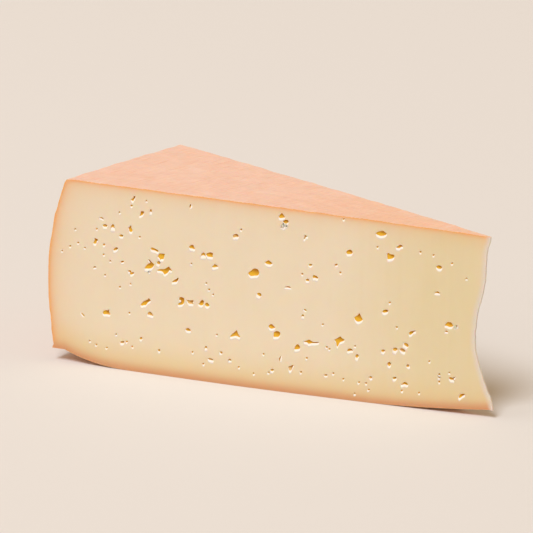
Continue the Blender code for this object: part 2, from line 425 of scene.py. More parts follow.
def sector_tree():
    tree, geometry, sizes = start_tree("wheel_sector", SECTOR)
    (radius, half_angle, heel_height, tip_height, widest, in_top, in_foot, flat, edge_round, lip_height,
     lip_out, heel_curl, curl_from, curl_to, tip_curl, tip_curl_to, thickness, closing_reach, swell,
     swell_centre, swell_reach) = sizes
    block = add(tree, "GeometryNodeInputPosition")
    s, t, w = parts_of(block)
    across = t * 2.0 - 1.0

    def height_at(r):
        top = mix(tip_height, heel_height, clamp(r / radius) ** 0.8)
        top = top - TOP_EDGE_DIP * clamp((r - TOP_EDGE_FROM) / TOP_EDGE_WIDTH) ** 2.0
        heel = clamp((r - curl_from) / (curl_to - curl_from))
        tip = clamp((tip_curl_to - r) / tip_curl_to)
        base = heel_curl * heel ** 2.6 + tip_curl * tip ** 1.8
        return mix(base, top, w)

    def rim_radius(z):
        up = clamp((z - widest) / (heel_height - widest))
        down = clamp((widest - z) / widest)
        rim = radius - in_top * up ** 2.1 - flat * (1.0 - across * across) * up ** 2.0
        rim = rim - in_foot * down ** 1.7
        corner = clamp((z - heel_height + edge_round) / edge_round)
        rim = rim - 0.8 * edge_round * (1.0 - calculate("SQRT", 1.0 - corner * corner))
        return rim + lip_out * clamp(1.0 - (z - heel_curl) / lip_height)

    z = height_at(s * radius)
    rim_back = rim_radius(z) * calculate("COSINE", across * half_angle)
    tip_back = drawn_curve(tree, z / MM, TIP_OUTLINE) * MM
    back = mix(tip_back, rim_back, s)
    half_width = hypot(back * calculate("TANGENT", half_angle), thickness * 0.5)
    z = height_at(hypot(back, across * half_width))
    along = (back - swell_centre) / swell_reach
    bulge = swell * fade(along * along, 1.0) * clamp(1.0 - z / tip_height) ** 1.5
    bulge = bulge * mix(1.0, 0.4, t > 0.5)
    tip_half_width = hypot(tip_back * calculate("TANGENT", half_angle), thickness * 0.5)
    closing = fade(back - tip_back, closing_reach) * (2.0 * tip_half_width - thickness)
    place = vector(tree, back * -1.0, across * (half_width + bulge) - t * closing, z)
    geometry = store(geometry, "block", block, kind="FLOAT_VECTOR")
    geometry = add(tree, "GeometryNodeSetPosition", {"Geometry": geometry, "Position": place})
    side = stored(tree, "side", "INT")
    paste_sides = larger(smaller(side > 1.5, side < 3.5), side < 0.5)
    top_side = side > 4.5
    finishes = [(finish["smear"], True), (finish["paste"], paste_sides), (finish["rind"], top_side)]
    end_tree(tree, geometry, *finishes)
    return tree


def box_of(piece):
    places = np.array([v.co for v in piece.data.vertices])
    return places.min(0), places.max(0)


run_tree(wedge, sector_tree(), SECTOR)
low, high = box_of(wedge)
AXIS_X = cad_high.x - high[0]
wedge.data.transform(Matrix.Translation((AXIS_X, -(low[1] + high[1]) / 2, 0)))
low, high = box_of(wedge)
print("wedge box in mm:", np.round(np.r_[low, high] / MM, 2).tolist())

# %% [markdown]
# ## Floor and light
#
# The wedge lies on a plain pale floor that runs on behind it. The key light is broad and far away, in
# front and high up, so the floor is evenly lit and the shadow falls behind the wedge and to the right of
# its tip, with soft edges. A weak fill comes from the left, and the room lights the rest.

# %% Floor and light
FLOOR_SIZE = 8.0
FLOOR_COLOUR = (0.79, 0.775, 0.77, 1)
ROOM_COLOUR = (1.0, 0.74, 0.48, 1)
ROOM_STRENGTH = 0.5
KEY_TURN, KEY_RISE = 6, 56
KEY_WIDTH = math.radians(27)
KEY_POWER = 1.9
KEY_COLOUR = (0.98, 1.02, 1.06)
FILL_TURN, FILL_RISE, FILL_DISTANCE = -50, 35, 1.5
FILL_SIZE = 1.2
FILL_POWER = 3

half = FLOOR_SIZE / 2
floor_mesh = bpy.data.meshes.new("floor")
floor_mesh.from_pydata([(-half, -half, 0), (half, -half, 0), (half, half, 0), (-half, half, 0)], [], [range(4)])
floor = new_piece("floor", floor_mesh)
floor_finish = bpy.data.materials.new("floor")
floor_finish.use_nodes = True
floor_shader = floor_finish.node_tree.nodes["Principled BSDF"]
floor_shader.inputs["Base Color"].default_value = FLOOR_COLOUR
floor_shader.inputs["Roughness"].default_value = 0.9
floor_shader.inputs["Specular IOR Level"].default_value = 0.1
floor_mesh.materials.append(floor_finish)

world = bpy.data.worlds.new("room")
bpy.context.scene.world = world
world.use_nodes = True
world.node_tree.nodes["Background"].inputs["Color"].default_value = ROOM_COLOUR
world.node_tree.nodes["Background"].inputs["Strength"].default_value = ROOM_STRENGTH


def new_lamp(name, kind, direction, power):
    lamp = bpy.data.objects.new(name, bpy.data.lights.new(name, kind))
    lamp.data.energy = power
    lamp.rotation_euler = direction.to_track_quat("Z", "Y").to_euler()
    bpy.context.scene.collection.objects.link(lamp)
    return lamp


key = new_lamp("key", "SUN", towards_angle(KEY_TURN, KEY_RISE), KEY_POWER)
key.data.angle = KEY_WIDTH
key.data.color = KEY_COLOUR
fill = new_lamp("fill", "AREA", towards_angle(FILL_TURN, FILL_RISE), FILL_POWER)
fill.data.size = FILL_SIZE
fill.location = FILL_DISTANCE * towards_angle(FILL_TURN, FILL_RISE)
bpy.context.scene.view_settings.view_transform = "Standard"

# %% [markdown]
# ## Relief
#
# A knife leaves a cut almost flat, with faint waves across its path. The brushed top has fine parallel
# ridges, nearly across the wedge, and the heel is dented where hands and boards pressed it. Noise on the
# points moves all of them a little. It fades out near the edges that two sides share, so the edges stay
# clean, and the tree keeps the height of each ridge as an attribute, for the rind's colours.

# %% Raise the relief
RELIEF = {
    "Ridge spacing": 1.25 * MM,
    "Ridge depth": 0.16 * MM,
    "Ridge lean": math.radians(-10),
    "Knife wave": 0.22 * MM,
    "Heel dent": 0.5 * MM,
    "Tip tear": 0.5 * MM,
}


def relief_tree():
    tree, geometry, sizes = start_tree("relief", RELIEF)
    spacing, ridge_depth, lean, knife_wave, heel_dent, tip_tear = sizes
    place = add(tree, "GeometryNodeInputPosition")
    x, y, z = [value * (1 / MM) for value in parts_of(place)]
    s, t, w = parts_of(stored(tree, "block", "FLOAT_VECTOR"))
    on_top = w > 0.9999
    on_heel = (s > 0.9999) * (1.0 - on_top) * (w > 0.0001)
    on_tip = s < 0.0001
    edge_distance = smaller(smaller(w, 1.0 - w) * 61.0, smaller(s, 1.0 - s) * 160.0)
    on_cut = larger(t < 0.0001, t > 0.9999) * clamp(edge_distance * 0.4)

    over = x * calculate("COSINE", lean) + y * calculate("SINE", lean)
    along = y * calculate("COSINE", lean) - x * calculate("SINE", lean)
    wander = noise(vector(tree, over * 0.12, along * 0.05, 0.0), 1.0, 3.0)
    wave = calculate("SINE", (over * MM / spacing + wander * 5.0) * math.tau)
    uneven = noise(vector(tree, over * 0.35, along * 0.11, 3.0), 1.0, 3.0, 0.6)
    scratches = noise(vector(tree, over * 1.1, along * 0.12, 7.0), 1.0, 2.0, 0.6)
    ridge = wave * clamp(uneven * 2.4 - 0.6) * 0.6 + (scratches - 0.5) * 3.2
    lumps = noise(vector(tree, x * 0.16, y * 0.16, 11.0), 1.0, 2.0) - 0.5
    lift = on_top * (ridge * ridge_depth * 0.5 + lumps * 0.7 * MM)

    waves = noise(vector(tree, x * 0.11, y * 0.1, z * 0.045), 1.0, 3.0) - 0.5
    fine = noise(vector(tree, x * 0.5, y * 0.5, z * 0.3), 1.0, 2.0) - 0.5
    out_of_cut = on_cut * (waves * knife_wave * 2.0 + fine * knife_wave * 0.5)
    dents = noise(vector(tree, x * 0.2, y * 0.2, z * 0.2), 1.0, 3.0) - 0.62
    grain = noise(vector(tree, x * 0.9, y * 0.9, z * 0.9), 1.0, 2.0) - 0.5
    out_of_heel = on_heel * (dents * heel_dent * 2.0 + grain * 0.25 * MM)
    tears = noise(vector(tree, 0.0, 5.0, z * 0.45), 1.0, 4.0, 0.65) - 0.55
    push_x = on_tip * tears * tip_tear * 2.0 - out_of_heel
    push_y = out_of_cut * calculate("SIGN", t - 0.5)
    geometry = store(geometry, "ridge", ridge)
    geometry = add(
        tree,
        "GeometryNodeSetPosition",
        {"Geometry": geometry, "Offset": vector(tree, push_x, push_y, lift)},
    )
    end_tree(tree, geometry, (finish["rind"], stored(tree, "side", "INT") > 4.5))
    return tree


run_tree(wedge, relief_tree(), RELIEF)
low, high = box_of(wedge)
print("with relief, in mm:", np.round(np.r_[low, high] / MM, 2).tolist())

# %% [markdown]
# ## Eyes
#
# Gas bubbles leave small holes in the paste. A knife opens them as shallow angular pits, deepest at the
# upper right, with a soft chamfered lip round each, widest below. That lip is painted near white, a painted
# highlight for the light it catches. Painted spots would stay flat, and these walls catch light, so the pits
# are cut. Each larger eye of the photographed cut is drawn as an outline. A closed plug is made from each
# outline, seated on the cut, and all of them are taken out of the wedge with one Boolean. The Manifold
# solver does it in a second and carries the attributes over the new edges; the Exact solver would take half
# a minute.

# %% Draw the eyes
# Each eye has its distance from the wheel's axis along the cut and its height in millimetres, how clear
# its amber is, and its outline in tenths of a millimetre, right being towards the tip
LARGE_EYES = [
    (138.1, 19.1, 0.9, [(-14, -4), (-12, 2), (-8, 6), (0, 8), (6, 7), (8, 11), (10, 11), (10, 3), (15, -6), (10, -7), (1, -6), (-10, -8)]),
    (123.3, 24.5, 0.9, [(-21, -12), (-15, -7), (-11, -1), (-2, 5), (7, 9), (10, 14), (13, 12), (18, 6), (13, 3), (7, -1), (2, -8), (-1, -12), (-8, -12), (-16, -16)]),
    (122.0, 37.3, 0.95, [(-20, -15), (-14, -7), (-8, 1), (-1, 6), (4, 8), (-2, 14), (-5, 18), (-1, 19), (5, 13), (11, 9), (18, 4), (15, -3), (10, -9), (1, -13), (-10, -14)]),
    (117.3, 41.5, 0.95, [(-17, -10), (-14, -5), (-10, 1), (0, 2), (10, 2), (9, -2), (7, -11), (4, -18), (-1, -17), (-8, -21), (-9, -16)]),
    (115.8, 35.9, 0.95, [(-34, 0), (-22, 4), (-11, 5), (-1, 9), (5, 14), (9, 17), (13, 13), (22, 3), (18, 2), (13, 5), (10, 1), (5, -6), (-1, -10), (-6, -13), (-10, -9), (-13, -4), (-23, -2), (-33, -3)]),
    (110.3, 26.3, 0.95, [(-6, 13), (1, 14), (11, 12), (12, 3), (11, -5), (6, -11), (-1, -13), (-9, -15), (-12, -12), (-8, -7), (-2, -4), (1, 0), (-2, 3), (-7, 3)]),
    (99.8, 43.3, 1.0, [(-15, 0), (-9, 4), (0, 8), (7, 7), (12, 5), (10, 0), (11, -8), (5, -8), (-9, -8), (-12, -4)]),
    (90.2, 17.5, 0.8, [(-21, -11), (-15, -4), (-5, 5), (0, 11), (3, 14), (5, 11), (7, 5), (11, -2), (17, -8), (13, -10), (8, -8), (0, -6), (-9, -9), (-17, -12)]),
    (83.9, 39.0, 1.0, [(-21, -4), (-14, 2), (-7, 8), (-2, 13), (5, 15), (13, 14), (18, 9), (20, 2), (18, -5), (13, -9), (3, -10), (-4, -12), (-11, -13), (-17, -9)]),
    (63.6, 18.1, 0.95, [(-22, -1), (-12, 1), (-6, 5), (-1, 7), (4, 4), (11, 0), (21, 1), (33, 3), (33, 0), (20, -3), (9, -4), (1, -7), (-5, -8), (-9, -4), (-19, -3)]),
    (53.0, 19.8, 1.0, [(-19, 0), (-11, 4), (-3, 10), (3, 14), (7, 9), (20, 3), (10, -3), (1, -7), (-3, -15), (-6, -22), (-10, -22), (-12, -13), (-13, -7)]),
    (46.4, 28.1, 1.0, [(-16, 0), (-12, 3), (-6, 6), (-1, 12), (2, 16), (6, 11), (10, 3), (15, -5), (9, -10), (0, -14), (-7, -13), (-14, -7)]),
    (38.5, 57.2, 1.0, [(-23, -3), (-15, 3), (-5, 7), (6, 9), (9, 5), (18, 0), (14, -4), (6, -8), (-6, -10), (-17, -7)]),
    (35.3, 50.0, 1.0, [(-13, 5), (-10, 10), (-4, 7), (0, 5), (7, 6), (13, 2), (11, -4), (6, -8), (-4, -11), (-12, -12), (-13, -3)]),
    (14.7, 29.6, 0.95, [(-17, -6), (-12, 1), (-6, 8), (-1, 7), (5, 8), (10, 3), (14, -3), (10, -7), (0, -9), (-9, -6)]),
]
MEDIUM_EYES = [
    (142.0, 43.2, 0.8, [(-5, 10), (2, 9), (10, 6), (8, 2), (4, -1), (3, -8), (-3, -10), (-9, -8), (-5, -2), (-3, 5)]),
    (134.5, 41.3, 0.7, [(-6, 2), (0, 6), (7, 6), (9, 2), (2, -4), (-7, -6), (-9, -4)]),
    (132.1, 9.5, 0.5, [(-9, 0), (-5, 4), (6, 5), (6, 0), (2, -3), (-8, -4)]),
    (129.0, 48.9, 0.9, [(1, 11), (4, 10), (3, 3), (8, -5), (6, -10), (1, -12), (-5, -9), (-4, -4), (-8, 2), (-4, 5)]),
    (128.7, 33.9, 0.9, [(-13, 5), (-5, 8), (-1, 5), (0, 0), (8, 3), (11, -1), (5, -5), (-3, -8), (-5, -4), (-4, 1), (-11, 2)]),
    (127.9, 59.3, 0.8, [(2, 8), (8, 8), (8, 4), (4, -2), (0, -10), (-6, -8), (-9, -5), (-4, -2), (1, 3)]),
    (124.8, 54.4, 0.9, [(-4, 7), (3, 10), (9, 7), (7, 1), (3, -4), (-5, -8), (-10, -9), (-5, -4), (-4, 2)]),
    (121.7, 20.6, 0.6, [(-5, 7), (2, 7), (8, 0), (12, -6), (5, -6), (-4, -4), (-11, -4), (-9, 3)]),
    (120.1, 42.8, 0.9, [(-13, 4), (-8, 6), (1, 3), (11, 0), (16, -5), (12, -8), (2, -4), (-10, -3), (-14, 0)]),
    (112.5, 33.1, 0.9, [(10, 11), (13, 8), (9, -1), (5, -5), (-4, -6), (-13, -9), (-8, -3), (0, 3), (6, 6)]),
    (107.8, 16.9, 0.9, [(2, 6), (9, 1), (12, -3), (5, -5), (-5, -4), (-9, 0), (-4, 4)]),
    (107.0, 26.5, 0.5, [(-13, 6), (-1, 4), (12, 7), (13, 3), (10, -2), (13, -7), (4, -7), (-5, -7), (-9, -2)]),
    (106.4, 45.1, 0.95, [(-11, 0), (-5, 6), (5, 8), (7, 2), (12, -6), (7, -7), (2, -5), (-8, -5)]),
    (102.9, 26.6, 1.0, [(2, 10), (8, 10), (10, 5), (8, -5), (2, -9), (-5, -8), (-12, -5), (-5, -2), (-3, 4)]),
    (100.7, 26.2, 1.0, [(-1, 8), (6, 3), (9, -2), (4, -6), (-4, -6), (-9, 0), (-5, 5)]),
    (99.2, 7.8, 0.5, [(-12, 2), (-1, 4), (6, 2), (11, -3), (4, -3), (-6, -2)]),
    (97.9, 39.8, 0.8, [(-11, -4), (-5, 1), (-2, 6), (7, 2), (12, -3), (6, -4), (-3, -7), (-11, -7)]),
    (90.5, 50.7, 0.6, [(-8, -8), (-10, -2), (-5, 5), (4, 7), (10, 2), (11, -2), (6, -5), (0, -4)]),
    (78.5, 43.0, 0.9, [(-15, -2), (-8, 4), (-1, 8), (6, 4), (14, -2), (7, -6), (0, -7), (-9, -5)]),
    (77.2, 21.6, 1.0, [(-12, 0), (-6, 7), (0, 9), (6, 4), (13, -2), (9, -5), (-1, -8), (-10, -5)]),
    (75.3, 19.3, 0.9, [(-11, 5), (-2, 10), (6, 10), (12, 6), (11, -3), (6, -9), (-6, -11), (-13, -11), (-12, -3)]),
    (74.0, 59.2, 1.0, [(0, 10), (6, 4), (13, -4), (5, -7), (-6, -9), (-11, -6), (-7, 2)]),
    (72.6, 57.3, 1.0, [(-9, 2), (-4, 7), (6, 7), (11, 4), (10, -1), (3, -6), (-4, -5), (-8, -2)]),
    (70.2, 8.6, 0.4, [(-9, 2), (-1, 6), (6, 9), (12, 10), (8, 5), (5, -2), (3, -9), (-5, -12), (-7, -5)]),
    (68.0, 15.9, 0.95, [(-11, -11), (-8, -3), (-4, 5), (2, 9), (7, 6), (11, -1), (10, -6), (1, -9)]),
    (65.6, 53.1, 0.4, [(-4, 7), (5, 3), (12, 2), (4, 0), (-1, -9), (-6, -9), (-1, 1)]),
    (61.9, 40.0, 0.85, [(-8, 5), (-3, 6), (5, 4), (11, -1), (9, -5), (-1, -3), (-9, -5)]),
    (49.9, 49.7, 1.0, [(-11, 0), (-5, 6), (3, 9), (10, 5), (12, -1), (8, -6), (-7, -8), (-10, -5)]),
    (49.5, 16.9, 0.8, [(-8, -2), (-4, 4), (3, 6), (9, 4), (14, -1), (6, -1), (-1, -4), (-7, -5)]),
    (37.1, 31.4, 0.9, [(-11, -3), (-5, 4), (4, 6), (10, 4), (11, 0), (4, -4), (-5, -6)]),
    (35.6, 13.9, 0.7, [(-5, 2), (2, 8), (8, 1), (6, -5), (1, -8), (-5, -4)]),
    (33.6, 9.4, 0.8, [(-7, 0), (-3, 3), (6, 4), (8, 0), (2, -4), (-5, -4)]),
    (32.3, 53.5, 0.9, [(-13, -4), (-5, 0), (0, 6), (6, 5), (13, 1), (5, -1), (0, -6), (-11, -6)]),
    (31.1, 19.0, 0.5, [(-9, 3), (-2, 7), (6, 6), (12, 0), (11, -5), (5, -6), (-4, -3)]),
    (30.0, 7.9, 0.8, [(-14, -5), (-9, -2), (-2, 6), (6, 5), (13, -2), (9, -4), (-1, -2), (-11, -6)]),
    (27.9, 25.3, 0.95, [(-8, -2), (-4, 4), (4, 5), (12, 8), (18, 7), (10, 4), (7, 1), (2, -5), (-5, -9), (-8, -7)]),
    (18.5, 48.2, 0.9, [(-11, -1), (-6, 5), (1, 6), (7, 4), (11, -1), (6, -6), (-4, -6)]),
    (13.8, 11.6, 0.8, [(-9, 0), (-3, 5), (4, 2), (9, 5), (15, 9), (12, 3), (7, 0), (11, -6), (5, -4), (-3, -5)]),
    (10.1, 6.3, 0.9, [(-11, -8), (-9, 0), (-3, 6), (6, 7), (12, 4), (5, 1), (-1, -5), (-7, -9)]),
]
SMALL_OUTLINES = [
    [(-6, -1), (-3, 4), (2, 5), (6, 1), (4, -4), (-3, -4)],
    [(-6, -4), (-4, 1), (0, 5), (4, 2), (6, -4), (0, -2)],
    [(-6, 0), (-1, 4), (5, 3), (6, -1), (1, -5), (-5, -4)],
]
SMALL_NATIVE = (1.2, 0.9)
# Millimetres: (distance from the wheel's axis along the cut, height, width, height of the eye, tilt)
SMALL_EYES = [
    (128.5, 56.8, 0.9, 0.7, 0), (121.4, 55.8, 0.9, 1.2, 0), (107.0, 58.9, 1.4, 0.6, 70), (139.6, 51.3, 1.7, 0.6, -15),
    (138.4, 48.9, 1.8, 0.9, 0), (135.5, 49.0, 1.6, 1.5, 0), (132.4, 46.1, 1.7, 0.8, 0), (138.8, 42.4, 0.9, 0.8, 0),
    (132.1, 37.2, 1.4, 0.6, 20), (142.4, 34.2, 1.2, 0.7, 15), (118.6, 38.4, 1.4, 1.1, -20), (102.2, 43.1, 1.8, 1.3, 0),
    (147.0, 17.3, 1.9, 0.5, -45), (125.2, 11.8, 1.1, 0.9, 0), (118.4, 8.5, 1.0, 0.8, 0), (101.0, 11.7, 1.0, 1.0, 0),
    (95.4, 10.6, 1.1, 0.7, -30), (63.6, 43.9, 1.4, 0.7, 0), (54.5, 44.9, 1.2, 0.6, 25), (64.6, 38.7, 1.4, 0.8, 0),
    (71.6, 35.5, 2.4, 0.6, 0), (81.8, 31.9, 1.8, 1.1, -25), (19.0, 39.7, 1.9, 0.8, 0), (65.3, 28.6, 1.2, 0.5, -25),
    (66.1, 26.6, 1.0, 0.9, 0), (46.8, 15.3, 1.2, 1.3, 0), (74.1, 11.1, 2.0, 0.6, 80), (92.2, 8.5, 1.2, 0.8, 0),
    (76.8, 7.0, 1.3, 0.8, 0), (57.7, 7.5, 1.3, 0.6, 10), (41.9, 8.6, 1.1, 0.8, 15), (37.7, 18.1, 1.4, 0.9, 0),
    (33.5, 19.1, 1.7, 1.2, 0), (29.6, 21.0, 2.0, 1.1, -30), (29.0, 14.0, 1.2, 0.9, 30), (12.4, 29.1, 1.4, 0.6, 35),
    (15.7, 27.1, 1.2, 0.6, 0), (73.4, 55.9, 2.6, 0.9, 38),
]
PINHOLES = [
    (154.5, 38.5), (151.5, 40.5), (149.5, 46.5), (148.5, 42), (146, 40.5), (144.5, 8.5), (142, 7.5),
    (141.5, 47.5), (139, 39), (138.5, 32), (138, 7), (136.5, 37), (134.5, 12), (133, 54), (133, 28.5),
    (130.5, 10), (129.5, 20), (129, 30), (128.5, 8.5), (125.5, 46.5), (123, 59), (122, 35),
    (106.5, 39.5), (106, 9.5), (102, 6), (101, 33.5), (100, 31.5), (98.5, 30), (97, 16.5), (89, 6.5),
    (88.5, 53), (83.5, 5), (80, 12), (78, 6), (73.5, 56), (66.5, 40.5), (66.5, 7.5), (64.5, 12.5),
    (59, 24.5), (57.5, 17), (56.5, 16.5), (55, 8.5), (53, 42.5), (52, 60.5), (51.5, 7), (47.5, 18.5),
    (47.5, 2.5), (46, 6.5), (43.5, 6.5), (42.5, 4.5), (40, 52.5), (35.5, 34.5), (33, 26.5),
    (31, 5.5), (25, 52.5), (25, 5.5), (21.5, 16.5), (20.5, 52), (18, 12.5), (18, 11.5), (18, 10),
    (14.5, 13.5), (14, 50), (12.5, 29), (9, 45.5),
]
PINHOLE_SIZE = (0.8, 0.65)
# A plug's rings from above the cut to the bottom of the pit, in millimetres: depth, how much wider than
# the outline, and how far the lower side is drawn down; then the ring's size
PLUG_RINGS = [
    (-0.3, 0.14, 1.0, 1.0), (-0.03, 0.14, 1.0, 1.0), (0.16, 0.0, 0.0, 1.0), (0.5, 0.0, 0.0, 0.9), (0.62, 0.0, 0.0, 0.5),
]
PLUG_BOTTOM = 0.66
PLUG_SLANT = 0.8
AMBER_FROM = 0.12


def rounded(outline):
    """Cuts the corners of an outline at a fifth of its sides."""
    cut = []
    for (x0, z0), (x1, z1) in zip(outline, outline[1:] + outline[:1]):
        cut.append((mix(x0, x1, 0.2), mix(z0, z1, 0.2)))
        cut.append((mix(x0, x1, 0.8), mix(z0, z1, 0.8)))
    return cut


def plug_mesh(name, outline):
    """A closed plug, in metres, from a clockwise outline in tenths of a millimetre."""
    corners = [Vector((0.1 * x, 0.1 * z)) for x, z in outline]
    reach = max(v.length for v in corners)
    sideways = []
    for i, corner in enumerate(corners):
        on = (corners[(i + 1) % len(corners)] - corners[i - 1]).normalized()
        sideways.append(Vector((-on.y, on.x)))
    bm = bmesh.new()
    depth_layer = bm.loops.layers.float.new("depth")
    rings = []
    for depth, wider, drawn_down, size in PLUG_RINGS:
        ring = []
        for corner, out in zip(corners, sideways):
            slant = 1 + PLUG_SLANT * (corner.x + corner.y) / (2 * reach) if depth > AMBER_FROM * 2 else 1
            down = drawn_down * max(0.0, -out.y)
            ring.append(bm.verts.new((size * corner.x + wider * out.x, depth * slant, size * corner.y + wider * out.y - down)))
        rings.append(ring)
    bottom = bm.verts.new((0, PLUG_BOTTOM, 0))
    bm.faces.new(rings[0])
    for upper, lower in zip(rings, rings[1:]):
        for i in range(len(outline)):
            bm.faces.new((upper[i - 1], upper[i], lower[i], lower[i - 1]))
    for i in range(len(outline)):
        bm.faces.new((rings[-1][i - 1], rings[-1][i], bottom))
    bmesh.ops.recalc_face_normals(bm, faces=bm.faces)
    for face in bm.faces:
        for loop in face.loops:
            loop[depth_layer] = loop.vert.co.y
    bmesh.ops.scale(bm, vec=(MM, MM, MM), verts=bm.verts)
    mesh = bpy.data.meshes.new(name)
    bm.to_mesh(mesh)
    bm.free()
    return mesh


drawn_eyes = LARGE_EYES + MEDIUM_EYES
outlines = [rounded(eye[3]) for eye in drawn_eyes] + SMALL_OUTLINES
shapes = bpy.data.collections.new("eye_shapes")
for number, outline in enumerate(outlines):
    name = f"eye_{number:02d}"
    shapes.objects.link(bpy.data.objects.new(name, plug_mesh(name, outline)))
print("eyes drawn:", len(drawn_eyes))

# %% Seat the eyes on the cuts
HIDDEN_EYES = {"large": 11, "medium": 26, "small": 26}
HIDDEN_PINHOLES = 40
SMALL_DEPTH = 0.8
PINHOLE_DEPTH = 0.7
SMALL_CLEAR = 0.75


def size_of(outline):
    return [0.1 * (max(p[axis] for p in outline) - min(p[axis] for p in outline)) for axis in (0, 1)]


def small_seat(draw, r, z, wide, high, tilt, deep):
    scale = (wide / SMALL_NATIVE[0], deep, high / SMALL_NATIVE[1])
    number = len(drawn_eyes) + draw.randrange(len(SMALL_OUTLINES))
    return r, z, number, tilt, scale, SMALL_CLEAR


def hidden_eyes(draw):
    """Eyes of the same sizes for the other cut, more of them towards the heel, none touching."""
    models = {"large": LARGE_EYES, "medium": MEDIUM_EYES, "small": []}
    eyes, seats = [], []
    for kind, count in HIDDEN_EYES.items():
        placed = 0
        while placed < count:
            r = mix(24, 150, draw.random() ** 0.8)
            z = draw.uniform(8, 56)
            wide, high = 1.3, 1.2
            if models[kind]:
                model = draw.choice(models[kind])
                wide, high = size_of(model[3])
            gaps = [math.hypot(r - e[0], z - e[1]) - (wide + e[2]) / 2 for e in eyes]
            if min(gaps, default=9) > 1.2:
                eyes.append((r, z, wide))
                tilt = draw.uniform(-30, 30)
                if models[kind]:
                    seats.append((r, z, drawn_eyes.index(model), tilt, (1, 1, 1), model[2]))
                else:
                    seats.append(small_seat(random.Random(placed), r, z, wide, high, tilt, SMALL_DEPTH))
                placed += 1
    return seats


def seats_mesh():
    """One point for each eye, on the cut, with its turn, size, shape and clearness as attributes."""
    surface = BVHTree.FromObject(wedge, bpy.context.evaluated_depsgraph_get())
    draw = random.Random(7)
    hidden = hidden_eyes(draw)
    for _ in range(HIDDEN_PINHOLES):
        r, z = draw.uniform(12, 154), draw.uniform(4, 58)
        hidden.append(small_seat(draw, r, z, *PINHOLE_SIZE, 0, PINHOLE_DEPTH))
    shown = [(r, z, number, 0, (1, 1, 1), clear) for number, (r, z, clear, _) in enumerate(drawn_eyes)]
    shown += [small_seat(draw, *eye, SMALL_DEPTH) for eye in SMALL_EYES]
    shown += [small_seat(draw, *eye, *PINHOLE_SIZE, draw.uniform(-20, 20), PINHOLE_DEPTH) for eye in PINHOLES]
    places, turns, scales, numbers, clears = [], [], [], [], []
    for side, eyes in ((-1, shown), (1, hidden)):
        turn = HALF_ANGLE if side < 0 else math.pi - HALF_ANGLE
        inward = Vector((-math.sin(turn), math.cos(turn), 0))
        for r, z, number, tilt, scale, clear in eyes:
            flat_x = AXIS_X - r * MM * math.cos(HALF_ANGLE)
            flat_y = side * r * MM * math.sin(HALF_ANGLE)
            on_plane = Vector((flat_x, flat_y, z * MM))
            places.append(surface.ray_cast(on_plane - 20 * MM * inward, inward)[0])
            turns.append((0, -math.radians(tilt), turn))
            scales.append(scale)
            numbers.append(number)
            clears.append(clear)
    mesh = bpy.data.meshes.new("eye_seats")
    mesh.from_pydata(places, [], [])
    mesh.attributes.new("turn", "FLOAT_VECTOR", "POINT").data.foreach_set("vector", np.ravel(turns))
    mesh.attributes.new("size", "FLOAT_VECTOR", "POINT").data.foreach_set("vector", np.ravel(scales))
    mesh.attributes.new("shape", "INT", "POINT").data.foreach_set("value", numbers)
    mesh.attributes.new("clear", "FLOAT", "POINT").data.foreach_set("value", clears)
    return mesh


eye_seats = bpy.data.objects.new("eye_seats", seats_mesh())
print("eyes seated:", len(eye_seats.data.vertices))

# %% Cut the eyes out of the wedge
EYES = {"Seats": eye_seats, "Shapes": shapes}


def eye_tree():
    tree, geometry, (seats, eye_shapes) = start_tree("eyes", EYES)
    points = add(tree, "GeometryNodeObjectInfo", {"Object": seats}, "Geometry")
    plugs = add(
        tree,
        "GeometryNodeCollectionInfo",
        {"Collection": eye_shapes, "Separate Children": True, "Reset Children": True},
    )
    placed = add(
        tree,
        "GeometryNodeInstanceOnPoints",
        {
            "Points": points,
            "Instance": plugs,
            "Pick Instance": True,
            "Instance Index": stored(tree, "shape", "INT"),
            "Rotation": add(tree, "FunctionNodeEulerToRotation", {0: stored(tree, "turn", "FLOAT_VECTOR")}),
            "Scale": stored(tree, "size", "FLOAT_VECTOR"),
        },
    )
    placed = add(tree, "GeometryNodeRealizeInstances", {"Geometry": placed})
    placed = store(placed, "clearness", stored(tree, "clear"))
    placed = add(tree, "GeometryNodeSetMaterial", {"Geometry": placed, "Material": finish["paste"]})
    pitted = add(
        tree,
        "GeometryNodeMeshBoolean",
        {"Mesh 1": geometry, "Mesh 2": placed},
        operation="DIFFERENCE",
        solver="MANIFOLD",
    )
    end_tree(tree, pitted, (finish["amber"], stored(tree, "depth") > AMBER_FROM))
    return tree


run_tree(wedge, eye_tree(), EYES)

# %% [markdown]
# ## Finishes
#
# Cheese lets light in, so its finishes scatter light under the surface, the paste most of all.

# %% Shared helpers for the finishes
def start_finish(name, roughness, scatter, reach, specular=0.35):
    """Sets the material's shared shader values, and gives its tree and shader."""
    tree = finish[name].node_tree
    shader = tree.nodes["Principled BSDF"]
    shader.inputs["Roughness"].default_value = roughness
    shader.inputs["Specular IOR Level"].default_value = specular
    shader.inputs["Subsurface Weight"].default_value = scatter
    shader.inputs["Subsurface Radius"].default_value = (1.0, 0.6, 0.3)
    shader.inputs["Subsurface Scale"].default_value = reach
    return tree, shader


def object_places(tree):
    coords = tree.nodes.new("ShaderNodeTexCoord")
    return [value * (1 / MM) for value in parts_of(Field(coords.outputs["Object"]))]


def attribute(tree, name, output="Fac"):
    return add(tree, "ShaderNodeAttribute", output=output, attribute_name=name)


def tint(under, colour, share):
    """Lays a colour over another by the given share."""
    tree = share.socket.id_data
    return add(tree, "ShaderNodeMix", {"Factor": clamp(share), "A": under, "B": colour}, "Result", data_type="RGBA")


